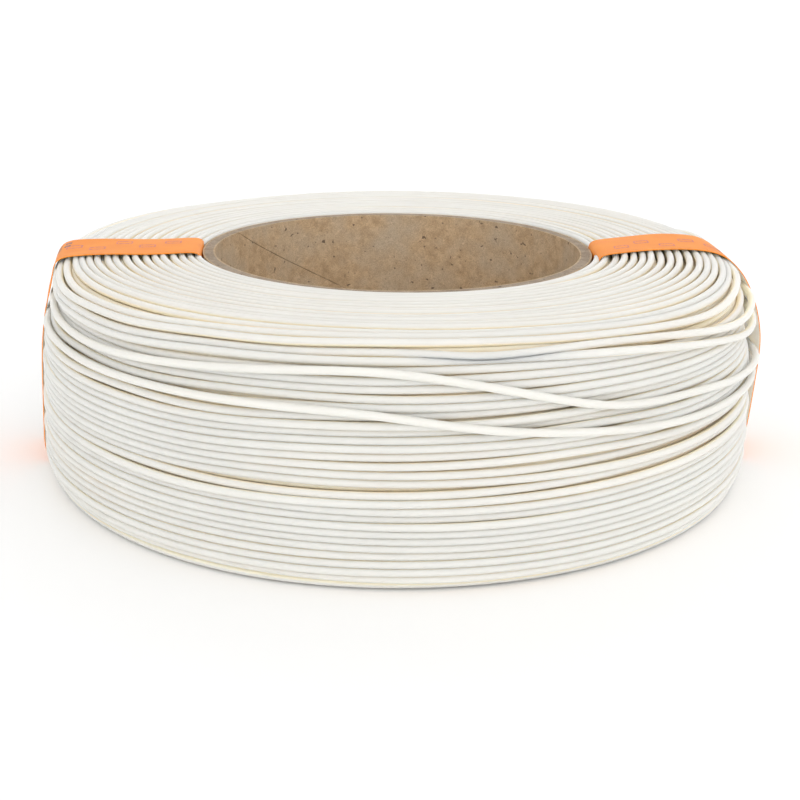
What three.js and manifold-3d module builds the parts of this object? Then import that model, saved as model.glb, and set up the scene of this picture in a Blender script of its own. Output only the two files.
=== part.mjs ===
// A spool-less filament refill: one long strand wound on a spiral-wound cardboard core and tied by two
// flat bands. Millimetres, +Z up. The coil lies flat, z = 0 is the face that it rests on, and the axis
// of the core is +Z through the origin. The bands cross the winding on its -X and +X sides.
import * as THREE from 'three';
import { mergeVertices } from 'three/addons/utils/BufferGeometryUtils.js';
import Module from 'manifold-3d';

const DEGREE = Math.PI / 180;

// Driving dimensions
const RING_FACETS = 64;            // flats round the axis, the same on every ring
const FIT_GAP = 0.3;               // clearance left between neighbouring solids

const CORE_BORE = 100;             // inside diameter of the cardboard core
const CORE_WALL = 3.2;
const CORE_HEIGHT = 55;
const PLY_COUNT = 7;               // layers of core board glued into the wall
const GLUE_LINE = 0.05;
const PLY_LEAD = 171;              // height that a ply climbs in one full turn
const FIRST_SEAM_ANGLE = 158;      // where the innermost ply's butt seam meets the upper rim, degrees
const SEAM_STAGGER = 154;          // turn from one ply's seam to the next, degrees
const SEAM_WIDTH = 0.4;

const FILAMENT_DIAMETER = 1.75;
const WINDING_DIAMETER = 192;
const WINDING_HEIGHT = 57.4;       // over the bulge of both faces
const FACE_BULGE = 1.2;            // how far the wound faces stand past the core's two rims
const FACE_SLOPE_END = 62;         // radius where the faces have risen to their full bulge
const UPPER_CORNER = 8;            // rounding of the winding's outer edges
const LOWER_CORNER = 6;

const BAND_WIDTH = 19.3;
const BAND_THICKNESS = 0.25;
const BAND_INNER_BEND = 2.4;       // bend where a band goes down between core and winding
const BAND_OUTER_BEND = 10;        // bend where it turns over the winding's edge
const LEFT_BAND_ANGLE = 186;
const RIGHT_BAND_ANGLE = 1;

const TURN_START = LEFT_BAND_ANGLE - 360 + 1;    // the two loose turns begin and end under the band
const TURN_END = LEFT_BAND_ANGLE - 1;

// Dimensions that follow
const boreRadius = CORE_BORE / 2;
const coreRadius = boreRadius + CORE_WALL;
const coreTop = FACE_BULGE + CORE_HEIGHT;
const windingRadius = WINDING_DIAMETER / 2;
const windingBore = coreRadius + FIT_GAP;
const strandRadius = FILAMENT_DIAMETER / 2;
const looseTurnRadius = windingRadius + FIT_GAP + strandRadius;
const bandInnerRadius = coreRadius + FIT_GAP + BAND_THICKNESS / 2;
const bandOuterRadius = looseTurnRadius + strandRadius + FIT_GAP + BAND_THICKNESS / 2;
const bandTop = WINDING_HEIGHT + FIT_GAP + BAND_THICKNESS / 2;
const bandBottom = BAND_THICKNESS / 2;

const filamentWhite = new THREE.MeshStandardMaterial({ color: 0xf2eee4, roughness: 0.45, metalness: 0 });
const kraftBoard = new THREE.MeshStandardMaterial({ color: 0xa98f70, roughness: 0.95, metalness: 0 });
const greyBoard = new THREE.MeshStandardMaterial({ color: 0xb0a594, roughness: 0.95, metalness: 0 });
const bandOrange = new THREE.MeshStandardMaterial({ color: 0xff8a2a, roughness: 0.5, metalness: 0 });

const coreAxis = new THREE.Vector3(0, 0, 1);

const wasm = await Module();
wasm.setup();

const part = new THREE.Group();

function addPiece(name, geometry, material) {
  const mesh = new THREE.Mesh(geometry, material);
  mesh.name = name;
  part.add(mesh);
}

// Booleans: a closed geometry becomes a solid, and a solid becomes a geometry again.

function toSolid(geometry) {
  const bare = geometry.clone();
  bare.deleteAttribute('normal');
  bare.deleteAttribute('uv');
  const merged = mergeVertices(bare);
  return new wasm.Manifold(new wasm.Mesh({
    numProp: 3,
    vertProperties: new Float32Array(merged.attributes.position.array),
    triVerts: new Uint32Array(merged.index.array),
  }));
}

function toGeometry(solid) {
  const mesh = solid.getMesh();
  const geometry = new THREE.BufferGeometry();
  geometry.setAttribute('position', new THREE.BufferAttribute(mesh.vertProperties, 3));
  geometry.setIndex(new THREE.BufferAttribute(mesh.triVerts, 1));
  geometry.computeVertexNormals();
  return geometry;
}

// A closed outline in (radius, height), turned about +Z.
function turnedRing(outline) {
  const closed = [...outline, outline[0].clone()];
  return new THREE.LatheGeometry(closed, RING_FACETS).rotateX(Math.PI / 2);
}

// ---- Core: plies of board, each one strip wound in a helix whose edges meet in a butt seam ----

function plyRing(innerRadius, outerRadius) {
  return turnedRing([
    new THREE.Vector2(innerRadius, FACE_BULGE),
    new THREE.Vector2(outerRadius, FACE_BULGE),
    new THREE.Vector2(outerRadius, coreTop),
    new THREE.Vector2(innerRadius, coreTop),
  ]);
}

// The open seam as a thin twisted blade that runs out past both rims and both faces of the ply.
function seamBlade(innerRadius, outerRadius, angleAtRim) {
  const overrun = 1;
  const twistSteps = 16;
  const depth = outerRadius - innerRadius + 2 * overrun;
  const height = CORE_HEIGHT + 2 * overrun;
  const blade = new THREE.BoxGeometry(depth, SEAM_WIDTH, height, 1, 1, twistSteps);
  blade.translate((innerRadius + outerRadius) / 2, 0, FACE_BULGE + CORE_HEIGHT / 2);
  const corner = new THREE.Vector3();
  const vertices = blade.attributes.position;
  for (let i = 0; i < vertices.count; i += 1) {
    corner.fromBufferAttribute(vertices, i);
    const turn = angleAtRim * DEGREE + ((corner.z - coreTop) / PLY_LEAD) * 2 * Math.PI;
    corner.applyAxisAngle(coreAxis, turn);
    vertices.setXYZ(i, corner.x, corner.y, corner.z);
  }
  return blade;
}

const plyThickness = (CORE_WALL - (PLY_COUNT - 1) * GLUE_LINE) / PLY_COUNT;
for (let i = 0; i < PLY_COUNT; i += 1) {
  const inner = boreRadius + i * (plyThickness + GLUE_LINE);
  const outer = inner + plyThickness;
  const seam = seamBlade(inner, outer, FIRST_SEAM_ANGLE + i * SEAM_STAGGER);
  const ply = toSolid(plyRing(inner, outer)).subtract(toSolid(seam));
  const isFacing = i === 0 || i === PLY_COUNT - 1;
  addPiece(`core_ply_${i + 1}`, toGeometry(ply), isFacing ? kraftBoard : greyBoard);
}

// ---- Bands: a flat closed loop round the section of the winding, bent to follow its curve ----

// The middle line of a band in (radius, height): up beside the core, out over the upper face, down the
// side and back under the lower face.
function bandLine() {
  const line = new THREE.Path();
  const quarter = Math.PI / 2;
  const inner = bandInnerRadius + BAND_INNER_BEND;
  const outer = bandOuterRadius - BAND_OUTER_BEND;
  line.absarc(outer, bandBottom + BAND_OUTER_BEND, BAND_OUTER_BEND, -quarter, 0, false);
  line.absarc(outer, bandTop - BAND_OUTER_BEND, BAND_OUTER_BEND, 0, quarter, false);
  line.absarc(inner, bandTop - BAND_INNER_BEND, BAND_INNER_BEND, quarter, 2 * quarter, false);
  line.absarc(inner, bandBottom + BAND_INNER_BEND, BAND_INNER_BEND, 2 * quarter, 3 * quarter, false);
  return line.getPoints(4);
}

// The same closed line moved sideways, outwards where the distance is positive.
function offsetLoop(points, distance) {
  return points.map((point, i) => {
    const before = points[(i + points.length - 1) % points.length];
    const after = points[(i + 1) % points.length];
    const along = after.clone().sub(before).normalize();
    return new THREE.Vector2(point.x + along.y * distance, point.y - along.x * distance);
  });
}

// A loop on the +X side that reaches so far outside and inside the band's middle line. Every line
// across it lies on a circle about the axis, so that the loop hugs the core and the winding.
function bandLoop(outside, inside, width) {
  const acrossSteps = 4;
  const line = bandLine();
  const section = new THREE.Shape(offsetLoop(line, outside));
  section.holes.push(new THREE.Path(offsetLoop(line, -inside)));
  const loop = new THREE.ExtrudeGeometry(section, { depth: width, steps: acrossSteps, bevelEnabled: false });
  loop.rotateX(Math.PI / 2).translate(0, width / 2, 0);
  const vertices = loop.attributes.position;
  for (let i = 0; i < vertices.count; i += 1) {
    const radius = vertices.getX(i);
    const across = vertices.getY(i);
    vertices.setX(i, Math.sqrt(radius * radius - across * across));
  }
  return loop;
}

const bandAngles = { left_band: LEFT_BAND_ANGLE, right_band: RIGHT_BAND_ANGLE };
for (const [name, angle] of Object.entries(bandAngles)) {
  const loop = bandLoop(BAND_THICKNESS / 2, BAND_THICKNESS / 2, BAND_WIDTH).rotateZ(angle * DEGREE);
  addPiece(name, toGeometry(toSolid(loop)), bandOrange);
}

// ---- Winding: the strand's many turns as one ring, with the channels that the bands lie in ----

function windingOutline() {
  const outline = new THREE.Path();
  const upperStart = WINDING_HEIGHT - UPPER_CORNER;
  outline.moveTo(windingBore, FACE_BULGE);
  outline.quadraticCurveTo((windingBore + FACE_SLOPE_END) / 2, 0, FACE_SLOPE_END, 0);
  outline.lineTo(windingRadius - LOWER_CORNER, 0);
  outline.absarc(windingRadius - LOWER_CORNER, LOWER_CORNER, LOWER_CORNER, -Math.PI / 2, 0, false);
  outline.absarc(windingRadius - UPPER_CORNER, upperStart, UPPER_CORNER, 0, Math.PI / 2, false);
  outline.lineTo(FACE_SLOPE_END, WINDING_HEIGHT);
  outline.quadraticCurveTo((windingBore + FACE_SLOPE_END) / 2, WINDING_HEIGHT, windingBore, coreTop);
  return outline.getPoints(3);
}

let winding = toSolid(turnedRing(windingOutline()));
const channelDepth = BAND_THICKNESS / 2 + FIT_GAP;
const channelOverrun = 3;          // the channels are open on the side away from the winding
for (const angle of Object.values(bandAngles)) {
  const channel = bandLoop(channelOverrun, channelDepth, BAND_WIDTH + 2 * FIT_GAP);
  winding = winding.subtract(toSolid(channel.rotateZ(angle * DEGREE)));
}
addPiece('filament_winding', toGeometry(winding), filamentWhite);

// ---- Outermost turns: each comes out under the left band, drops across the front of the coil and
// goes on round the back to the left band again, where its end is tucked under ----

// One turn at the looseTurnRadius, through heights given as [angle in degrees, height] pairs.
class LooseTurn extends THREE.Curve {
  constructor(heights) {
    super();
    this.heights = heights;
  }

  heightAt(angle) {
    const next = this.heights.findIndex(([knotAngle]) => knotAngle >= angle);
    const [endAngle, endHeight] = this.heights[Math.max(next, 1)];
    const [startAngle, startHeight] = this.heights[Math.max(next, 1) - 1];
    const eased = THREE.MathUtils.smoothstep(angle, startAngle, endAngle);
    return THREE.MathUtils.lerp(startHeight, endHeight, eased);
  }

  getPoint(t, target = new THREE.Vector3()) {
    const angle = THREE.MathUtils.lerp(TURN_START, TURN_END, t);
    const x = looseTurnRadius * Math.cos(angle * DEGREE);
    const y = looseTurnRadius * Math.sin(angle * DEGREE);
    return target.set(x, y, this.heightAt(angle));
  }
}

function strandAlong(curve) {
  const section = new THREE.Shape();
  section.absarc(0, 0, strandRadius, 0, 2 * Math.PI, false);
  return new THREE.ExtrudeGeometry(section, { curveSegments: 4, steps: 64, extrudePath: curve });
}

const lastTurn = new LooseTurn([[TURN_START, 46.5], [-96, 51.6], [-40, 34.2], [TURN_END, 33.2]]);
const turnBeforeLast = new LooseTurn([[TURN_START, 42.5], [-96, 43.4], [-46, 31.6], [TURN_END, 30.8]]);
addPiece('filament_last_turn', toGeometry(toSolid(strandAlong(lastTurn))), filamentWhite);
addPiece('filament_turn_before_last', toGeometry(toSolid(strandAlong(turnBeforeLast))), filamentWhite);

export default part;
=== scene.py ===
import math

import bpy
import numpy as np
from mathutils import Matrix, Vector


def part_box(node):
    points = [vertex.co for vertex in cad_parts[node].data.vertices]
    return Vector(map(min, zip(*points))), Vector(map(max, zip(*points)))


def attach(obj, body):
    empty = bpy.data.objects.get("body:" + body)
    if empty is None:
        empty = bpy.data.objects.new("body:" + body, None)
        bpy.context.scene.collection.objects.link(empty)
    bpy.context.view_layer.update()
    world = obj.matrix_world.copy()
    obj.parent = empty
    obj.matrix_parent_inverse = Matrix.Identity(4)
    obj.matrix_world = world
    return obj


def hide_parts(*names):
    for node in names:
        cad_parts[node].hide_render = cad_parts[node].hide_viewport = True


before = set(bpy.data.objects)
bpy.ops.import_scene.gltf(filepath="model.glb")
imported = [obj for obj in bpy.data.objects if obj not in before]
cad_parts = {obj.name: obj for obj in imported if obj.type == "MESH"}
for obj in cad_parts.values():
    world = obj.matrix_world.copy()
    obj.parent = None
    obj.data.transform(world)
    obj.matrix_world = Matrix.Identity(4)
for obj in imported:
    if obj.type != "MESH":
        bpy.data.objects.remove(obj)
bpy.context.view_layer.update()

MM = 0.001


def high_corner(node):
    """The high corner of a CAD node's box."""
    return np.array(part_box(node)[1]) / MM


# ---------------------------------------------------------------- sizes, from the frame
PLY_NAMES = [f"core_ply_{i}" for i in range(1, 8)]
CORE_RADIUS, _, CORE_TOP = high_corner(PLY_NAMES[-1])

# ---------------------------------------------------------------- sizes of what is drawn
STRAND = 1.75                    # thickness the rows are laid for
STRAND_RADIUS = 0.93             # drawn thicker than the strand, so that neighbouring rows close up
PITCH = 1.87                     # from row to row on the side
FACE_PITCH = 2.38                # from row to row on the two faces
TIERS = 3                        # layers of rows that are laid, the outermost last
TIER_DEPTH = 1.48                # from one tier down to the next
SIDE_RADIUS = 92                 # rows further out than this belong to the side
SIDES = 12                       # round a strand that can be seen well
PLAIN_SIDES = 8                  # round the others
STEPS = 144                      # samples in one turn
THETA = np.arange(STEPS) * 2 * math.pi / STEPS
DEGREES = np.degrees(THETA)
AZIMUTH = ((DEGREES + 174) % 360) - 174   # the same angles, cut under the left band

WAVER = 0.4                      # how far rows stray along the section
LIFT = 0.3                       # how far rows stray off the section
DIVE = 12.0                      # how deep the end of a row goes, out of sight
BAND_WIDTH = 19.3
BAND_THICKNESS = 0.25
HELD_GAP = 0.3                   # between a strand and the band over it
MARK_GAP = 0.03                  # between the strip and the print on it
MARK_STEPS = 6                   # samples along one bar of print
LEFT_BAND = 186.0                # the bands' angles
RIGHT_BAND = 0.0
ORANGE, BACKING, FAINT, DARK = range(4)   # the bands' material slots


# ---------------------------------------------------------------- camera, light, floor
def make_camera():
    lens, down, roll_angle = 55.3, 18.77, 0.7
    aside, back, over_core = 1.2, -335.0, 69.4
    data = bpy.data.cameras.new("camera")
    camera = bpy.data.objects.new("camera", data)
    bpy.context.scene.collection.objects.link(camera)
    data.sensor_width = 36
    data.lens = lens
    data.clip_end = 200
    tilt = Matrix.Rotation(math.radians(90 - down), 4, "X")
    roll = Matrix.Rotation(math.radians(roll_angle), 4, "Z")
    place = Matrix.Translation(Vector((aside, back, CORE_TOP + over_core)) * MM)
    camera.matrix_world = place @ tilt @ roll
    bpy.context.scene.camera = camera


def make_studio():
    """A white studio all round, brightest from the front and dimmest from the left. What the camera sees of
    it directly is plain white at the least."""
    # The strength is level and a share for each direction: x to the right, y to the back and z up.
    level, right, back = 1.69, 0.15, -0.22
    both_sides, both_poles = -0.86, -0.8
    scene = bpy.context.scene
    scene.view_settings.view_transform = "Standard"
    world = bpy.data.worlds.new("studio")
    world.use_nodes = True
    nodes = world.node_tree.nodes
    background = nodes["Background"]
    background.inputs["Color"].default_value = (1, 1, 1, 1)
    heading = nodes.new("ShaderNodeTexCoord")
    split = nodes.new("ShaderNodeSeparateXYZ")
    world.node_tree.links.new(heading.outputs["Generated"], split.inputs["Vector"])

    def calculate(operation, *values):
        step = nodes.new("ShaderNodeMath")
        step.operation = operation
        for socket, value in zip(step.inputs, values):
            if isinstance(value, float):
                socket.default_value = value
            else:
                world.node_tree.links.new(value, socket)
        return step.outputs[0]

    x, y, z = split.outputs
    dimmer = calculate("MULTIPLY", calculate("MULTIPLY", x, x), both_sides)
    tilted = calculate("MULTIPLY_ADD", x, right, dimmer)
    ahead = calculate("MULTIPLY_ADD", y, back, tilted)
    upward = calculate("MULTIPLY", calculate("MULTIPLY", z, z), both_poles)
    light = calculate("ADD", calculate("ADD", ahead, upward), level)
    seen = nodes.new("ShaderNodeLightPath").outputs["Is Camera Ray"]
    strength = calculate("MAXIMUM", light, seen)
    world.node_tree.links.new(strength, background.inputs["Strength"])
    scene.world = world


def make_floor():
    half = 40.0                      # metres
    mesh = bpy.data.meshes.new("floor")
    corners = [(-half, -half, 0), (half, -half, 0), (half, half, 0), (-half, half, 0)]
    mesh.from_pydata(corners, [], [(0, 1, 2, 3)])
    floor = bpy.data.objects.new("floor", mesh)
    bpy.context.scene.collection.objects.link(floor)
    material = bpy.data.materials.new("floor")
    material.use_nodes = True
    shader = material.node_tree.nodes["Principled BSDF"]
    shader.inputs["Base Color"].default_value = (1, 1, 1, 1)
    shader.inputs["Roughness"].default_value = 0.9
    mesh.materials.append(material)


# ---------------------------------------------------------------- the winding
def smooth_ring(values, passes):
    for _ in range(passes):
        values = 0.25 * np.roll(values, 1) + 0.5 * values + 0.25 * np.roll(values, -1)
    return values


def smoothstep(x, low, high):
    """0 up to low, 1 from high on, and a smooth way between them."""
    t = np.clip((x - low) / (high - low), 0, 1)
    return t * t * (3 - 2 * t)


def ring_noise(rng, waves):
    """Smooth noise round the ring, of about unit size, from its first few waves."""
    value = np.zeros(STEPS)
    total = 0
    for wave in range(1, waves + 1):
        size = 1 / wave**0.5
        total += size**2
        value += rng.normal() * size * np.cos(wave * THETA + rng.uniform(0, 2 * math.pi))
    return value * (2 / total) ** 0.5


# The middle line of the outermost strands round the section: (radius, height), from the core's foot
# outwards over the resting face, up the side and back over the upper face to the core's rim.
SECTION = [(54.7, 1.0), (60, 0.9), (74, 0.9), (94.9, 0.9), (96.2, 2.6), (96.1, 8), (95.9, 18), (95.6, 28),
           (95.3, 38), (94.9, 46), (93.8, 52.6), (89.8, 55.8), (84, 56.45), (72, 56.5), (62, 56.5),
           (57.5, 56.3), (54.7, 55.9)]


def cut_corners(line, closed):
    """Rounds a line by cutting its corners. An open line keeps its ends."""
    for _ in range(4):
        here = line if closed else line[:-1]
        ahead = np.roll(line, -1, axis=0) if closed else line[1:]
        cut = np.stack([0.75 * here + 0.25 * ahead, 0.25 * here + 0.75 * ahead], axis=1)
        cut = cut.reshape(-1, line.shape[1])
        line = cut if closed else np.concatenate([line[:1], cut, line[-1:]])
    return line


class Section:
    """The section's outline, rounded, with its length as the parameter."""

    REACH = 1.2                      # how far to each side a direction is taken over

    def __init__(self, points):
        line = cut_corners(np.array(points, float), closed=False)
        step = np.linalg.norm(np.diff(line, axis=0), axis=1)
        self.line = line
        self.along = np.concatenate([[0], np.cumsum(step)])
        self.length = self.along[-1]

    def point(self, s):
        return np.stack([np.interp(s, self.along, self.line[:, i]) for i in (0, 1)], axis=-1)

    def outward(self, s):
        along = self.point(s + self.REACH) - self.point(s - self.REACH)
        along /= np.linalg.norm(along, axis=-1, keepdims=True)
        return np.stack([along[..., 1], -along[..., 0]], axis=-1)

    def at_depth(self, depth):
        """The place on the outer side that lies this far below the core's rim."""
        innermost, lowest = 86, 2
        radius, height = self.line.T
        side = (radius > innermost) & (height > lowest)
        return np.interp(CORE_TOP - depth, self.line[side, 1], self.along[side])

    def place(self, s, n):
        """The point (radius, height) at s along the outline and n off it."""
        return self.point(s) + n[..., None] * self.outward(s)


def pitch_at(section, s):
    """Rows lie close together on the side and further apart on the two faces."""
    outer, inner, upper, lower = 94.6, 86, 40, 10
    height = section.point(s)[..., 1]
    radius = section.point(s)[..., 0]
    face = smoothstep(radius, outer, inner) * ((height > upper) | (height < lower))
    return PITCH + (FACE_PITCH - PITCH) * face


def row_places(section, offset):
    """Where a tier's rows lie along the section, from the core's foot to its rim."""
    end_gap = 1.2
    places = [offset]
    while places[-1] < section.length - end_gap:
        places.append(places[-1] + float(pitch_at(section, np.array(places[-1]))))
    return np.array(places)


# ---------------------------------------------------------------- how this coil is wound
# Grooves, where neighbouring rows stand apart: (angle, depth below the core's rim, width).
GROOVES = [
    [(-162, 2.4, 0.1), (-146, 3.2, 0.7), (-138, 4.5, 0.9), (-122, 4.0, 0.8), (-101, 1.7, 0.5),
     (-70, 0.6, 0)],
    [(-162, 13.0, 0.4), (-146, 15.6, 0.9), (-131, 17.4, 0.8), (-115, 15.3, 0.3), (-103, 14.5, 0)],
    [(-174, 7.5, 0.5), (-150, 8.4, 0.5), (-124, 8.0, 0.6), (-112, 7.2, 0.3), (-98, 6.0, 0)],
    [(-110, 3.3, 0), (-98, 3.0, 0.3), (-84, 3.0, 0.7), (-72, 2.8, 0.4), (-48, 2.6, 0)],
    [(-112, 17.2, 0), (-95, 16.9, 0.3), (-60, 16.9, 0.15), (-35, 17.0, 0)],
    [(-105, 28.6, 0), (-88, 28.8, 0.4), (-60, 28.5, 0)],
    [(-120, 31.2, 0), (-90, 31.0, 0.45), (-60, 30.3, 0.4), (-28, 30.0, 0)],
    [(-140, 47.4, 0), (-100, 47.7, 0.35), (-50, 47.4, 0)],
]
# The last two turns lie over the rows: (angle, depth below the rim).
LAST_TURN = [(-174, 9.7), (-153, 9.8), (-139, 10.2), (-129, 9.6), (-115, 8.1), (-102, 6.6), (-96, 6.1),
             (-89, 6.3), (-82.6, 8.1), (-76, 10.2), (-69, 13.3), (-63, 16.2), (-57, 17.7), (-43, 18.7),
             (-30, 21.2), (-14, 23.4), (10, 23.6), (90, 22.4), (186, 23.0)]
TURN_BEFORE = [(-174, 13.7), (-140, 14.6), (-120, 14.4), (-98, 14.3), (-89, 15.5), (-82.5, 17.5),
               (-76, 19.4), (-69, 20.6), (-46, 24.6), (-20, 26.4), (90, 25.4), (186, 25.4)]
# Where they lie down between the rows: (angle, depth, how far the rows make way).
BEDS = [
    [(-124, 9.1, 0), (-115, 8.1, 0.9), (-104, 6.8, 0.7), (-97, 6.1, 0)],
    [(-63, 16.4, 0), (-57, 17.7, 0.9), (-43, 18.7, 1.2), (-34, 20.0, 0.8), (-26, 21.5, 0)],
    [(-130, 14.5, 0), (-116, 14.4, 0.9), (-104, 14.2, 0.9), (-94, 14.8, 0)],
    [(-78, 19.0, 0), (-69, 20.6, 0.9), (-46, 24.6, 1.2), (-30, 26, 1.2), (-14, 26.4, 0.6)],
]
# Three rows sag on the right and stand off the coil: the row's own depth, its route as (angle, depth), and
# its bulge as (angle, width, height).
LOOPS = [
    (1.6, [(-60, 1.9), (-47, 2.8), (-38, 3.6), (-30, 3.4), (-18, 2.6), (-6, 2.0), (14, 1.6)],
     (-21, 9, 0.8)),
    (3.6, [(-78, 3.9), (-63, 3.0), (-52, 4.0), (-44, 5.5), (-35, 7.2), (-25, 8.8), (-12, 8.0), (20, 4.5)],
     (-15, 11, 1.3)),
    (5.4, [(-60, 5.0), (-48, 7.0), (-34, 10.1), (-23, 13.4), (-13, 13.6), (0, 11), (25, 6)],
     (-12, 11, 1.6)),
]


def smooth_ends(values, passes):
    """Smooths along the strand and leaves the cut under the left band open."""
    order = np.argsort(AZIMUTH)
    line = values[order]
    for _ in range(passes):
        padded = np.concatenate([line[:1], line, line[-1:]])
        line = 0.25 * padded[:-2] + 0.5 * padded[1:-1] + 0.25 * padded[2:]
    result = np.empty_like(values)
    result[order] = line
    return result


def route(points, column=1):
    """Values through the given points at their angles, smoothly."""
    table = np.array(points, float)
    return smooth_ends(np.interp(AZIMUTH, table[:, 0], table[:, column]), 5)


def bump(centre, width, height):
    """A rounded rise at one angle."""
    return height * np.exp(-(((AZIMUTH - centre) / width) ** 2))


def sag(s, section):
    """Near the upper edge the rows hang lower to the left and right of the front."""
    left_most, right_most = 3.4, 1.6
    point = section.point(s)
    depth = CORE_TOP - point[..., 1]
    left = smoothstep(AZIMUTH, -95, -132) * smoothstep(AZIMUTH, -172, -146)
    right = smoothstep(AZIMUTH, -75, -40) * smoothstep(AZIMUTH, 30, -10)
    edge = smoothstep(point[..., 0], 85, 94.5)
    left_sag = left_most * left * smoothstep(depth, 17, 11)
    right_sag = right_most * right * smoothstep(depth, 22, 10)
    return s - edge * (left_sag + right_sag)


def make_room(s, lift, section):
    """Spreads the rows until each has its place, with the grooves and beds kept open."""
    most_stagger, passes = 1.2, 200
    middle = 0.5 * (s[1:] + s[:-1])
    need = np.sqrt(STRAND**2 - np.clip(lift[1:] - lift[:-1], -most_stagger, most_stagger) ** 2)
    for points in GROOVES + BEDS:
        line = section.at_depth(route(points, 1))
        need = need + route(points, 2) * np.exp(-(((middle - line) / (0.5 * PITCH)) ** 2))
    for _ in range(passes):
        push = 0.5 * np.maximum(need - (s[1:] - s[:-1]), 0)
        s[:-1] -= push
        s[1:] += push
    return s


def wind_tier(section, tier, rng):
    """The lines of one tier of rows: place along the section and distance off it, by row and angle."""
    # A row keeps part of the waver of the row before it and adds an even shift and smooth waves of its own.
    # The rows beside a hanging loop make way for it, less and less over about five rows.
    half_a_row, kept, face_size = 0.95, 0.6, 0.45
    even, wavy, loop_spread = 0.5, 0.85, 5.0
    levels = row_places(section, 0.0 if tier % 2 else half_a_row)
    waver = np.zeros((len(levels), STEPS))
    lift = np.zeros((len(levels), STEPS))
    for k, level in enumerate(levels):
        size = 1.0 if section.point(level)[0] > 90 else face_size
        before = waver[k - 1] if k else 0
        waver[k] = kept * before + WAVER * size * (even * rng.normal() + wavy * ring_noise(rng, 5))
        lift[k] = LIFT * size * (even * rng.normal() + wavy * ring_noise(rng, 6))
    s = sag(levels[:, None] + waver, section)
    if tier == TIERS - 1:
        for own, points, _ in LOOPS:
            k = int(np.argmin(abs(levels - section.at_depth(own))))
            beside = np.arange(len(levels))[:, None] - k
            fading = np.exp(-(np.abs(beside) - 1) / loop_spread)
            s -= 0.5 * PITCH * hanging_share(points) * np.sign(beside) * fading
    s = make_room(s, lift, section)
    for k in range(len(s)):
        s[k] = smooth_ring(s[k], 4)
    return s, lift - (TIERS - 1 - tier) * TIER_DEPTH


def step_rows(section, s, n, tier):
    """Turns of strand along the lines. On the side a turn steps to the next line in a zone at the back, as
    a wound strand has to. On the two faces it closes on itself. The side's first and last rows dive in."""
    first_step, first_step_odd = 60, 128
    half_step, half_dive = 16, 8
    on_side = section.point(s.mean(1))[:, 0] > SIDE_RADIUS
    turns = []
    for k in range(len(s) - 1):
        middle = first_step_odd - k if tier % 2 else first_step + k
        over = smoothstep(DEGREES, middle - half_step, middle + half_step)
        steps = on_side[k] and on_side[k + 1]
        share = over if steps else 0 * over
        along = s[k] * (1 - share) + s[k + 1] * share
        off = n[k] * (1 - share) + n[k + 1] * share
        if not steps and on_side[k]:
            off -= DIVE * smoothstep(DEGREES, middle - half_dive, middle + half_dive)
        turns.append(np.stack([along, off], 1))
        if steps and not on_side[k - 1]:
            rising = DIVE * smoothstep(DEGREES, middle + half_dive, middle - half_dive)
            turns.append(np.stack([s[k], n[k] - rising], 1))
    turns.append(np.stack([s[-1], n[-1]], 1))
    return np.array(turns)


def wind_coil():
    """The section and its tiers of turns, innermost first."""
    rng = np.random.default_rng(7)
    section = Section(SECTION)
    tiers = []
    for tier in range(TIERS):
        s, n = wind_tier(section, tier, rng)
        tiers.append(step_rows(section, s, n, tier))
    hang_loops(section, tiers[-1])
    return section, tiers


def rest_on(rows, s, without=None):
    """How far out a taut strand along s lies on these rows."""
    nowhere, lowest, coil_radius, passes = -99, 0.3, 95, 60
    apart = rows[:, :, 0] - s[None, :]
    reach = rows[:, :, 1] + np.sqrt(np.maximum(STRAND**2 - apart**2, 0))
    reach = np.where(np.abs(apart) < STRAND, reach, nowhere)
    if without is not None:
        reach[without] = nowhere
    rest = np.maximum(reach.max(0), lowest)
    taut = rest
    bend = coil_radius * (1 - math.cos(2 * math.pi / STEPS))
    for _ in range(passes):
        taut = np.maximum(rest, 0.5 * (np.roll(taut, 1) + np.roll(taut, -1)) - bend)
    return smooth_ring(taut, 6)


def hanging_share(points):
    """0 where a loop lies in its own row, 1 where it hangs."""
    leaving = 14
    start, end = points[0][0], points[-1][0]
    return smoothstep(AZIMUTH, start - leaving, start) * smoothstep(AZIMUTH, end + leaving, end)


def hang_loops(section, rows):
    """Moves the rows nearest to the loops' own depths onto the loops' routes."""
    levels = rows[:, :, 0].mean(1)
    chosen = []
    for own, points, swell in LOOPS:
        k = int(np.argmin(abs(levels - section.at_depth(own))))
        chosen.append((k, points, swell))
    without = [k for k, _, _ in chosen]
    for k, points, swell in chosen:
        share = hanging_share(points)
        s = rows[k, :, 0] * (1 - share) + section.at_depth(route(points)) * share
        n = rest_on(rows, s, without) + bump(*swell)
        near = smoothstep(share, 0.05, 0.7)
        rows[k, :, 1] = rows[k, :, 1] * (1 - near) + n * near
        rows[k, :, 0] = s


def wind_last_turns(section, rows):
    """The two last turns, each resting on all that was wound before it."""
    bulge = bump(-13, 8, 0.9)
    loose = []
    for points, lift in ((TURN_BEFORE, 0.0), (LAST_TURN, bulge)):
        s = section.at_depth(route(points))
        turn = np.stack([s, rest_on(rows, s) + lift], axis=1)
        rows = np.concatenate([rows, turn[None]])
        loose.append(turn)
    return loose


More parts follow.
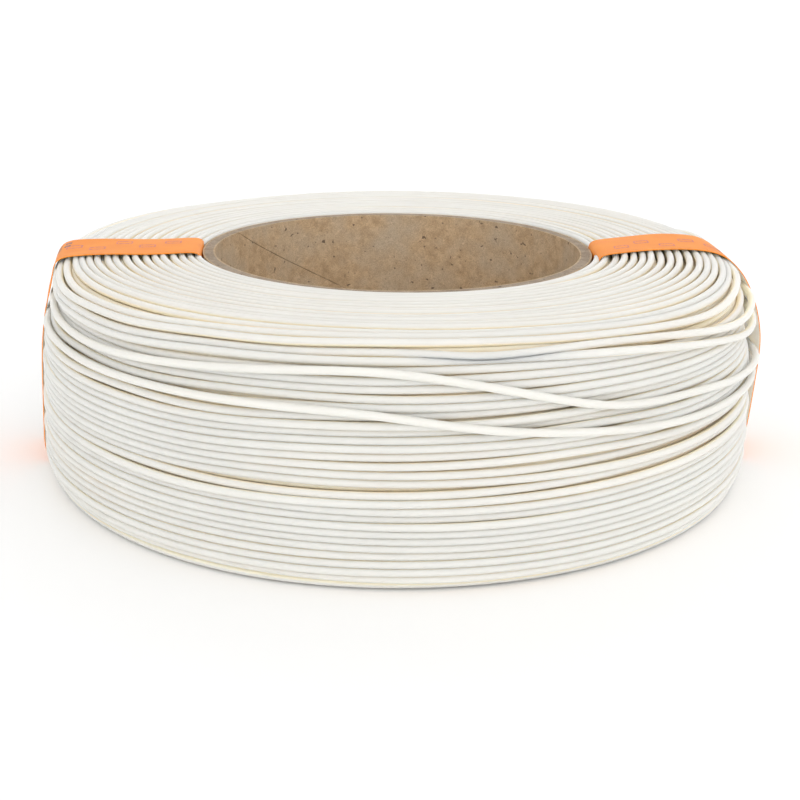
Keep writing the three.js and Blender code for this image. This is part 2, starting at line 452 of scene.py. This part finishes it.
def inset(point):
    """How far the pull of the bands and the slack rows draw the side in, by angle and height."""
    depth = CORE_TOP - point[:, 1]
    outside = smoothstep(point[:, 0], 80, SIDE_RADIUS)
    # Where round the coil each band pulls, then how that changes with the depth below the rim.
    left = bump(-170, 34, 1) + bump(190, 34, 1)
    right = bump(-4, 32, 1)
    upper = smoothstep(depth, 27, 4)
    hollow = np.exp(-(((depth - 10.5) / 4.4) ** 2))
    lower = smoothstep(depth, 26, 38) * smoothstep(depth, 54, 46)
    left_pull = 1.9 * upper + 2.2 * hollow - 0.5 * lower
    right_pull = 2.6 * upper - 0.5 * lower
    return outside * (left * left_pull + right * right_pull)


def from_angle(centre):
    """Degrees round the axis from this angle, between -180 and 180."""
    return (DEGREES - centre + 180) % 360 - 180


def rise(point):
    """At the back the outer turns of the upper face ride up, and the bands hold the inner ones down."""
    back_rise, held_down, held_width = 1.1, 0.4, 9
    upper = smoothstep(point[:, 1], 40, 50)
    far = smoothstep(point[:, 0], 62, 84) * upper
    near = smoothstep(point[:, 0], 64, 56) * upper
    back = bump(78, 52, 1)
    pressed = sum(np.exp(-((from_angle(band) / held_width) ** 2)) for band in (RIGHT_BAND, LEFT_BAND))
    return back_rise * far * back - held_down * near * pressed


# The bands' way round the section, from between the core and the winding, over the upper face, down the
# side and back along the underside: (radius, height, sideways shift, twist in degrees).
RIGHT_ROUTE = [(53.45, 8, -3, 0), (53.45, 30, -4, 0), (53.45, 54.5, -5, 0), (53.6, 57.1, -4.8, 0),
               (55.4, 57.8, -4.0, 0), (60, 57.9, -1.6, 0), (66, 57.9, 1.2, 0), (72, 58.0, 2.9, 1),
               (79, 58.0, 3.7, 1), (85, 57.7, 3.0, 1), (88.6, 56.6, 0.8, 0), (91, 54.4, -1.8, -1),
               (93.2, 51, -3.4, -3), (95.6, 45, -4.0, -5), (97.3, 38, -4.0, -6), (97.8, 32, -4.0, -6),
               (97.7, 20, -3.5, -3), (97.7, 9, -3.0, 0), (97.1, 2.6, -3, 0), (94.6, 0.5, -3, 0),
               (75, 0.4, -3, 0), (56.5, 0.5, -3, 0), (53.7, 2.2, -3, 0)]
LEFT_ROUTE = [(53.45, 8, -1, 0), (53.45, 30, -0.5, 0), (53.45, 54.5, -0.5, 0), (53.6, 56.9, 0.2, 0),
              (55.4, 57.6, 0.9, 0), (61, 57.7, 1.8, 0), (68, 57.7, 2.8, 0), (76, 57.7, 3.3, 0),
              (85, 57.3, 2.8, -1), (89.0, 56.9, 2.0, -2), (91.6, 55.4, 1.8, -4), (93.2, 50, 1.7, -7),
              (95.0, 44, 1.7, -7), (95.8, 39, 1.7, -7), (96.7, 32, 1.7, -7), (97.7, 20, 1.7, -6),
              (98.0, 10, 1.5, -4), (97.3, 2.6, 1.5, 0), (94.8, 0.5, 1.5, 0), (75, 0.4, 1, 0),
              (56.5, 0.5, 0, 0), (53.7, 2.2, 0, 0)]


def held_under(angle, knots, radius, height):
    """Keeps a strand under the strip that goes over it at this angle: on the side, on top and below. Beyond
    the strip's edges it comes free again, the further the more."""
    clear, edge_room, release, reach = STRAND_RADIUS + HELD_GAP, 1.5, 0.05, 0.5
    table = np.array(knots, float)
    out, up = table[:, 0], table[:, 1]
    # The strip's way on the side and over the upper face, and its way beneath the lower one.
    side = table[(out > 88) & (up > 0.3)][::-1]
    over = table[(out > 55) & (up > 53)]
    beneath = table[(out > 55) & (up < 3)][::-1]

    limit, aside, twist = (np.interp(height, side[:, 1], side[:, i]) for i in (0, 2, 3))
    apart = np.radians(from_angle(angle))
    close = np.abs(apart) < reach
    across = radius * np.sin(apart) - aside
    free = release * np.maximum(np.abs(across) - 0.5 * BAND_WIDTH - edge_room, 0) ** 2
    limit = (limit + across * np.sin(np.radians(twist)) - clear) / np.cos(apart) + free
    beside = close & (height < side[-1, 1]) & (radius > 85)
    radius = np.where(beside, np.minimum(radius, limit), radius)

    top = np.interp(radius, over[:, 0], over[:, 1]) - clear + free
    height = np.where(close & (height > 50), np.minimum(height, top), height)
    foot = np.interp(radius, beneath[:, 0], beneath[:, 1]) + clear - free
    height = np.where(close & (height < 8), np.maximum(height, foot), height)
    return radius, height


def ease(line, passes):
    """Smooths an open line in place and leaves its ends."""
    for _ in range(passes):
        line[1:-1] = 0.25 * line[:-2] + 0.5 * line[1:-1] + 0.25 * line[2:]
    return line


def strand_path(section, turn):
    """A turn's middle line in space, and the way out of the coil along it."""
    point = section.place(turn[:, 0], turn[:, 1])
    radius = point[:, 0] - inset(point)
    height = np.maximum(point[:, 1] + rise(point), STRAND_RADIUS)
    for angle, knots in ((LEFT_BAND, LEFT_ROUTE), (RIGHT_BAND, RIGHT_ROUTE)):
        radius, height = held_under(angle, knots, radius, height)
    order = np.argsort(AZIMUTH)
    for line in (radius, height):
        line[order] = ease(line[order], 2)
    outward = section.outward(turn[:, 0])
    around = np.stack([np.cos(THETA), np.sin(THETA)], axis=1)
    path = np.concatenate([radius[:, None] * around, height[:, None]], axis=1)
    facing = np.concatenate([outward[:, :1] * around, outward[:, 1:]], axis=1)
    return path, facing


# ---------------------------------------------------------------- mesh making
class Tubes:
    """Collects strands into one mesh. In their UV map u is the length along a strand, and v goes from 0 on
    the outside of the coil to 1 on the inside, round either flank."""

    MEAN_RADIUS = 80                 # of a turn, for the length along it

    def __init__(self, sides):
        self.sides = sides
        self.vertices = []
        self.faces = []
        self.uvs = []
        self.count = 0

    def add(self, path, facing, closed=False, bare=False):
        """Adds a strand. A bare one has the outside's v all round."""
        n = len(path)
        if closed:
            along = np.roll(path, -1, axis=0) - np.roll(path, 1, axis=0)
        else:
            along = np.gradient(path, axis=0)
        along /= np.linalg.norm(along, axis=1)[:, None]
        out = facing - (facing * along).sum(1)[:, None] * along
        out /= np.linalg.norm(out, axis=1)[:, None]
        side = np.cross(along, out)
        turn = np.arange(self.sides) * 2 * math.pi / self.sides
        ring = out[:, None] * np.cos(turn)[:, None] + side[:, None] * np.sin(turn)[:, None]
        vertices = (path[:, None] + STRAND_RADIUS * ring).reshape(-1, 3)
        i = np.arange(n if closed else n - 1)[:, None]
        j = np.arange(self.sides)[None, :]
        here, ahead = i * self.sides, (i + 1) % n * self.sides
        j2 = (j + 1) % self.sides
        quads = np.stack([here + j, ahead + j, ahead + j2, here + j2], -1)
        self.faces.extend((quads.reshape(-1, 4) + self.count).tolist())
        u = np.stack([i, i + 1, i + 1, i], -1) * (2 * math.pi * self.MEAN_RADIUS / STEPS) * MM
        v = np.stack([j, j, j + 1, j + 1], -1) / self.sides
        v = 0.0 * v if bare else 1 - np.abs(1 - 2 * v)
        u, v = np.broadcast_arrays(u, v)
        self.uvs.append(np.stack([u, v], -1).reshape(-1, 2))
        if not closed:
            for start, flip in ((0, True), (n - 1, False)):
                cap = [self.count + start * self.sides + s for s in range(self.sides)]
                self.faces.append(cap[::-1] if flip else cap)
                self.uvs.append(np.zeros((self.sides, 2)))
        self.vertices.append(vertices)
        self.count += len(vertices)

    def make(self, name, material):
        vertices = np.concatenate(self.vertices)
        return mesh_piece(name, vertices, self.faces, [material], np.concatenate(self.uvs))


def mesh_piece(name, vertices, faces, materials, uvs=None, face_materials=None):
    """A smooth piece of the visual model, from vertices in millimetres."""
    mesh = bpy.data.meshes.new(name)
    mesh.from_pydata((np.asarray(vertices) * MM).tolist(), [], faces)
    if uvs is not None:
        layer = mesh.uv_layers.new(name="strip")
        layer.data.foreach_set("uv", np.asarray(uvs, dtype=np.float32).ravel())
    for material in materials:
        mesh.materials.append(material)
    if face_materials is not None:
        mesh.polygons.foreach_set("material_index", np.asarray(face_materials, dtype=np.int32))
    mesh.shade_smooth()
    mesh.validate()
    piece = bpy.data.objects.new(name, mesh)
    bpy.context.scene.collection.objects.link(piece)
    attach(piece, "root")
    return piece


# ---------------------------------------------------------------- materials
class Surface:
    """A Principled material and short ways to add its nodes."""

    def __init__(self, name, roughness=0.5, **constants):
        self.material = bpy.data.materials.new(name)
        self.material.use_nodes = True
        self.tree = self.material.node_tree
        self.shader = self.tree.nodes["Principled BSDF"]
        self.shader.inputs["Roughness"].default_value = roughness
        for socket, value in constants.items():
            self.shader.inputs[socket.replace("_", " ")].default_value = value

    def node(self, kind, **settings):
        """Adds a node and sets its inputs or its properties by name."""
        node = self.tree.nodes.new(kind)
        for key, value in settings.items():
            if key in node.inputs:
                node.inputs[key].default_value = value
            else:
                setattr(node, key, value)
        return node

    def link(self, source, target):
        self.tree.links.new(source, target)

    def place(self, scale=(1, 1, 1)):
        """The place on the piece, in metres, stretched by the scale."""
        coordinates = self.node("ShaderNodeTexCoord")
        mapping = self.node("ShaderNodeMapping")
        mapping.inputs["Scale"].default_value = scale
        self.link(coordinates.outputs["Object"], mapping.inputs["Vector"])
        return mapping.outputs["Vector"]

    def noise(self, vector, scale, detail=3.0, rough=0.5, distortion=0.0):
        noise = self.node("ShaderNodeTexNoise", Scale=scale, Detail=detail, Roughness=rough)
        noise.inputs["Distortion"].default_value = distortion
        self.link(vector, noise.inputs["Vector"])
        return noise.outputs["Fac"]

    def ramp(self, factor, stops):
        ramp = self.node("ShaderNodeValToRGB")
        while len(ramp.color_ramp.elements) < len(stops):
            ramp.color_ramp.elements.new(0.5)
        for element, (position, colour) in zip(ramp.color_ramp.elements, stops):
            element.position = position
            element.color = (*colour, 1)
        self.link(factor, ramp.inputs["Fac"])
        return ramp.outputs["Color"]

    def mix(self, factor, a, b, blend="MIX"):
        mix = self.node("ShaderNodeMix", data_type="RGBA", blend_type=blend)
        for value, socket in ((factor, mix.inputs[0]), (a, mix.inputs[6]), (b, mix.inputs[7])):
            if isinstance(value, bpy.types.NodeSocket):
                self.link(value, socket)
            else:
                socket.default_value = value
        return mix.outputs[2]

    def colour(self, socket):
        self.link(socket, self.shader.inputs["Base Color"])

    def roughness(self, factor, low, high):
        spread = self.node("ShaderNodeMapRange")
        spread.inputs["To Min"].default_value = low
        spread.inputs["To Max"].default_value = high
        self.link(factor, spread.inputs["Value"])
        self.link(spread.outputs["Result"], self.shader.inputs["Roughness"])

    def bump(self, factor, distance, strength):
        bump = self.node("ShaderNodeBump", Distance=distance, Strength=strength)
        self.link(factor, bump.inputs["Height"])
        self.link(bump.outputs["Normal"], self.shader.inputs["Normal"])


def filament_material(name, pale):
    """Milky white plastic. Light that has wandered through the strands comes out of the gaps between them
    warmer. A warm colour on the flanks of a strand, away from the outside of the coil, stands in for it."""
    flank_start, flank_full, lighter = 0.3, 0.5, 1.04
    surface = Surface(name, Subsurface_Weight=1.0, Subsurface_Scale=0.003)
    surface.shader.inputs["Subsurface Radius"].default_value = (1.0, 0.95, 0.9)
    broad = surface.noise(surface.place(), 45, detail=2)
    paler = tuple(min(1.0, lighter * c) for c in pale)
    face = surface.ramp(broad, [(0.3, pale), (0.7, paler)])
    flank = surface.ramp(broad, [(0.3, (1.0, 0.82, 0.59)), (0.7, (1.0, 0.86, 0.65))])
    girth = surface.node("ShaderNodeUVMap", uv_map="strip")
    split = surface.node("ShaderNodeSeparateXYZ")
    surface.link(girth.outputs["UV"], split.inputs["Vector"])
    turned = surface.node("ShaderNodeMapRange", interpolation_type="SMOOTHSTEP")
    turned.inputs["From Min"].default_value = flank_start
    turned.inputs["From Max"].default_value = flank_full
    surface.link(split.outputs["Y"], turned.inputs["Value"])
    surface.colour(surface.mix(turned.outputs["Result"], face, flank))
    drawn = surface.noise(surface.place((30, 9, 1)), 3, detail=3)
    surface.roughness(drawn, 0.36, 0.52)
    return surface.material


def neutral(value):
    """A colour of this brightness, without a hue."""
    return (value, value, value)


def board_material(name, dark, light, grey):
    """Recycled board: cloudy pulp, curled fibres pale and dark, and specks."""
    fleck_colour = (0.08, 0.055, 0.04)
    surface = Surface(name, roughness=0.9)
    here = surface.place()
    cloud = surface.noise(here, 330, detail=5, rough=0.65)
    pulp = surface.ramp(cloud, [(0.32, dark), (0.68, light)])
    tint = surface.noise(here, 90, detail=2)
    greyed = surface.ramp(tint, [(0.45, neutral(0)), (0.75, neutral(1))])
    pulp = surface.mix(greyed, pulp, (*grey, 1))
    curled = surface.noise(here, 900, detail=2, rough=0.6, distortion=3.5)
    fibres = surface.ramp(curled, [(0.28, neutral(0.3)), (0.5, neutral(0.5)), (0.72, neutral(0.74))])
    pulp = surface.mix(0.6, pulp, fibres, "OVERLAY")
    specks = surface.noise(here, 620, detail=1)
    flecked = surface.ramp(specks, [(0.70, neutral(0)), (0.76, neutral(0.8))])
    surface.colour(surface.mix(flecked, pulp, (*fleck_colour, 1)))
    surface.bump(curled, 0.00012, 0.6)
    return surface.material


def orange_material():
    """The bands' coloured outer face."""
    surface = Surface("band_orange", Specular_IOR_Level=0.1)
    haze = surface.noise(surface.place(), 160, detail=3)
    surface.colour(surface.ramp(haze, [(0.3, (0.89, 0.27, 0.03)), (0.7, (0.93, 0.32, 0.05))]))
    surface.roughness(haze, 0.42, 0.56)
    surface.bump(haze, 0.0001, 0.3)
    return surface.material


def backing_material():
    """The bands' pale inner face."""
    surface = Surface("band_backing", roughness=0.7, Subsurface_Weight=0.9, Subsurface_Scale=0.002)
    surface.shader.inputs["Subsurface Radius"].default_value = (1.0, 0.8, 0.6)
    haze = surface.noise(surface.place(), 400, detail=3)
    surface.colour(surface.ramp(haze, [(0.3, (0.97, 0.86, 0.72)), (0.7, (0.99, 0.91, 0.79))]))
    surface.bump(haze, 0.0001, 0.3)
    return surface.material


def print_material(name, thin, full):
    """Print worn through in places."""
    surface = Surface(name)
    wear = surface.noise(surface.place(), 1600, detail=2)
    surface.colour(surface.ramp(wear, [(0.4, thin), (0.6, full)]))
    surface.bump(wear, 0.00005, 0.3)
    return surface.material


# ---------------------------------------------------------------- pieces
def group_name(section, tier, turn):
    """The piece that a turn goes into."""
    middle_height = 30
    radius, height = section.point(turn[:, 0].mean())
    if tier < TIERS - 1:
        return f"inner_rows_{tier + 1}"
    if radius >= SIDE_RADIUS:
        return "side_rows"
    return "upper_face_rows" if height > middle_height else "lower_face_rows"


def add_turns(tubes, section, turns):
    """Adds closed turns one by one, diving turns cut off where they are out of sight, and each run of
    stepping turns as one strand."""
    deepest, least_step = -TIERS * TIER_DEPTH - 1.5, 0.5
    steps = [turn[-1, 0] - turn[0, 0] for turn in turns]
    run = []
    for i, turn in enumerate(turns):
        path, facing = strand_path(section, turn)
        shown = turn[:, 1] > deepest
        if not shown.all():
            tubes.add(path[shown], facing[shown])
        elif abs(steps[i]) < least_step:
            tubes.add(path, facing, closed=True)
        else:
            run.append((path, facing))
            if i + 1 == len(turns) or steps[i + 1] <= least_step:
                paths, facings = zip(*run)
                tubes.add(ease(np.concatenate(paths), 3), np.concatenate(facings))
                run = []


def make_winding(filament, gap_glow_filament):
    """All pieces of filament. What lies under the outermost tier is made of a brighter, warmer copy of the
    filament: painted light, standing in for the light that comes through the gaps between the outer rows.
    """
    section, tiers = wind_coil()
    groups = {}
    for tier, turns in enumerate(tiers):
        for turn in turns:
            groups.setdefault(group_name(section, tier, turn), []).append(turn)
    for name, turns in groups.items():
        tubes = Tubes(SIDES if name in ("side_rows", "upper_face_rows") else PLAIN_SIDES)
        add_turns(tubes, section, turns)
        # The inner rows get the brighter, warmer copy: painted light seen through the gaps.
        piece = tubes.make(name, gap_glow_filament if name.startswith("inner") else filament)
        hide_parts("filament_winding")
    make_last_turns(section, tiers[-1], filament)
    # The body is made of the same brighter, warmer copy: painted light seen through the gaps.
    make_body(section, gap_glow_filament)


def make_last_turns(section, rows, filament):
    before, last = wind_last_turns(section, rows)
    order = np.argsort(AZIMUTH)
    for name, node, turn in (("turn_before_last", "filament_turn_before_last", before),
                             ("last_turn", "filament_last_turn", last)):
        tubes = Tubes(SIDES)
        path, facing = strand_path(section, turn)
        tubes.add(path[order], facing[order], bare=True)
        piece = tubes.make(name, filament)
        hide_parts(node)


def make_body(section, filament):
    """The wound body under the visible turns."""
    steps, spacing = 96, 1.2
    depth = TIERS * TIER_DEPTH + 0.3
    wall = CORE_RADIUS + 0.3
    profile = section.place(np.arange(0, section.length, spacing), np.array([-depth]))
    outline = np.concatenate([profile, [[wall, profile[-1, 1]], [wall, profile[0, 1]]]])
    radius, height = outline.T
    angle = np.arange(steps)[:, None] * 2 * math.pi / steps
    height = np.broadcast_to(height, (steps, len(outline)))
    vertices = np.stack([radius * np.cos(angle), radius * np.sin(angle), height], -1).reshape(-1, 3)
    n = len(outline)
    faces = []
    for i in range(steps):
        a, b = i * n, (i + 1) % steps * n
        for j in range(n):
            faces.append((a + j, b + j, b + (j + 1) % n, a + (j + 1) % n))
    # The material given here is the brighter, warmer filament copy, which paints the light seen through the
    # gaps.
    piece = mesh_piece("wound_body", vertices, faces, [filament])
    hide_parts("filament_winding")


# ---------------------------------------------------------------- bands
class Band:
    """A flat strip drawn round the section at one angle."""

    ALONG = 220                      # samples along the strip
    ACROSS = 8                       # and across it
    REACH = 0.6                      # how far to each side a direction is taken over
    CURL = 0.07                      # how far the strip's edges curl

    def __init__(self, angle, knots, seed):
        self.angle = math.radians(angle)
        table = cut_corners(np.array(knots, float), closed=True)
        loop = np.concatenate([table, table[:1]])
        step = np.linalg.norm(np.diff(loop[:, :2], axis=0), axis=1)
        self.along = np.concatenate([[0], np.cumsum(step)])
        self.length = self.along[-1]
        self.knots = loop
        rng = np.random.default_rng(seed)
        self.waves = rng.normal(size=(5, 2))

    def knot(self, u):
        u = u % self.length
        return np.stack([np.interp(u, self.along, self.knots[:, i]) for i in range(4)], axis=-1)

    def place(self, u, v, h):
        """The point u along the strip, v across it and h off its inner face."""
        u, v, h = np.broadcast_arrays(np.asarray(u, float), v, h)
        here = self.knot(u)
        along = self.knot(u + self.REACH)[..., :3] - self.knot(u - self.REACH)[..., :3]
        along /= np.linalg.norm(along, axis=-1, keepdims=True)
        normal = np.stack([-along[..., 1], along[..., 0], 0 * u], axis=-1)
        normal /= np.linalg.norm(normal, axis=-1, keepdims=True)
        across = np.broadcast_to([0.0, 0.0, 1.0], normal.shape)
        twist = np.radians(here[..., 3])[..., None]
        twisted = across * np.cos(twist) + normal * np.sin(twist)
        off = normal * np.cos(twist) - across * np.sin(twist)
        waves = sum(a * np.sin(u * (0.05 + 0.04 * i) + b) for i, (a, b) in enumerate(self.waves))
        h = h + self.CURL * waves * (v / (0.5 * BAND_WIDTH)) ** 2
        local = here[..., :3] + v[..., None] * twisted + h[..., None] * off
        radius, height, aside = np.moveaxis(local, -1, 0)
        x = radius * math.cos(self.angle) - aside * math.sin(self.angle)
        y = radius * math.sin(self.angle) + aside * math.cos(self.angle)
        return np.stack([x, y, height], axis=-1)

    def outward(self, point):
        """The way out of the strip near a point on it."""
        beside = 3
        radius = point[0] * math.cos(self.angle) + point[1] * math.sin(self.angle)
        here = np.array([radius, point[2]])
        nearest = int(np.argmin(np.linalg.norm(self.knots[:-1, :2] - here, axis=1)))
        ahead = self.knots[(nearest + beside) % (len(self.knots) - 1), :2]
        along = ahead - self.knots[nearest - beside, :2]
        return np.array([-along[1] * math.cos(self.angle), -along[1] * math.sin(self.angle), along[0]])

    def mesh(self):
        """The closed strip with both faces: vertices, faces and each face's material slot."""
        u = np.arange(self.ALONG) * self.length / self.ALONG
        v = np.linspace(-0.5, 0.5, self.ACROSS + 1) * BAND_WIDTH
        v = np.concatenate([v, v[::-1]])
        h = np.concatenate([np.full(self.ACROSS + 1, BAND_THICKNESS), np.zeros(self.ACROSS + 1)])
        points = self.place(u[:, None], v[None, :], h[None, :])
        n = len(v)
        faces, kinds = [], []
        for i in range(self.ALONG):
            for j in range(n):
                a, b = i * n, (i + 1) % self.ALONG * n
                faces.append((a + j, a + (j + 1) % n, b + (j + 1) % n, b + j))
                kinds.append(BACKING if self.ACROSS < j < n - 1 else ORANGE)
        return points.reshape(-1, 3), faces, kinds


def print_marks(band, marks, kind, line):
    """Marks on a band, each (place along, place across, length, width). They are outlined with a line this
    thick, or filled if it is 0."""
    long_line = 1.6 * line
    vertices, faces, kinds = [], [], []
    for u, v, length, width in marks:
        bars = [(0, width / 2, length, long_line), (0, -width / 2, length, long_line),
                (length / 2, 0, line, width), (-length / 2, 0, line, width)]
        if not line:
            bars = [(0, 0, length, width)]
        for du, dv, su, sv in bars:
            us = u + du + np.linspace(-su / 2, su / 2, MARK_STEPS)
            low = band.place(us, v + dv - sv / 2, BAND_THICKNESS + MARK_GAP)
            high = band.place(us, v + dv + sv / 2, BAND_THICKNESS + MARK_GAP)
            start = len(vertices)
            vertices.extend(low.tolist())
            vertices.extend(high.tolist())
            for i in range(MARK_STEPS - 1):
                a = start + i
                faces.append((a, a + 1, a + MARK_STEPS + 1, a + MARK_STEPS))
                kinds.append(kind)
    return vertices, faces, kinds


def make_band(name, band, materials, faint, dark):
    outline, filled, sharp = 0.42, 0, 40
    vertices, faces, kinds = band.mesh()
    vertices = vertices.tolist()
    for marks, kind, line in ((faint, FAINT, outline), (dark, DARK, filled)):
        more, more_faces, more_kinds = print_marks(band, marks, kind, line)
        faces += [tuple(i + len(vertices) for i in face) for face in more_faces]
        kinds += more_kinds
        vertices += more
    points = np.array(vertices)
    for i, face in enumerate(faces):
        a, b, c = points[list(face[:3])]
        outward = band.outward(points[list(face)].mean(0))
        faces_out = np.dot(np.cross(b - a, c - b), outward)
        wrong = faces_out > 0 if kinds[i] == BACKING else faces_out < 0
        if wrong:
            faces[i] = face[::-1]
    piece = mesh_piece(name, vertices, faces, materials, face_materials=kinds)
    piece.data.set_sharp_from_angle(angle=math.radians(sharp))
    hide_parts(name.replace("_strip", ""))


def make_bands():
    """Both bands, with the same row of outlined dashes on top and each with dark marks of its own."""
    materials = [orange_material(), backing_material(),
                 print_material("band_faint_print", (0.84, 0.20, 0.09), (0.56, 0.11, 0.12)),
                 print_material("band_dark_print", (0.55, 0.20, 0.12), (0.10, 0.07, 0.11))]
    left = Band(LEFT_BAND, LEFT_ROUTE, 3)
    right = Band(RIGHT_BAND, RIGHT_ROUTE, 5)
    staggered = [(46 + 6.5 * i, v, 4.0, 2.6) for i, v in enumerate((-3.5, 0.5, -4.5, 1.5, -1.5))]
    corner = [(u, v, 1.7, 1.5) for v in (-6.6, -3.8) for u in (74.2, 76.8)]
    make_band("left_band_strip", left, materials, staggered, corner)
    make_band("right_band_strip", right, materials, staggered, [(77.0, 1.0, 1.8, 1.3)])


make_camera()
make_studio()
make_floor()
# The second filament is the same plastic painted brighter and warmer, standing in for light that comes
# through the gaps between the outer rows.
make_winding(filament_material("filament", (0.735, 0.72, 0.67)),
             filament_material("filament_painted_gap_glow", (0.98, 0.80, 0.58)))
make_bands()

# The innermost and the outermost ply are of brown board and the ones between them of grey board.
kraft = board_material("kraft_board", (0.39, 0.27, 0.155), (0.56, 0.405, 0.25), (0.47, 0.375, 0.265))
grey = board_material("grey_board", (0.25, 0.185, 0.125), (0.43, 0.335, 0.245), (0.36, 0.29, 0.22))
for node in PLY_NAMES:
    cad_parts[node].data.materials.clear()
    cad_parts[node].data.materials.append(kraft if node in (PLY_NAMES[0], PLY_NAMES[-1]) else grey)
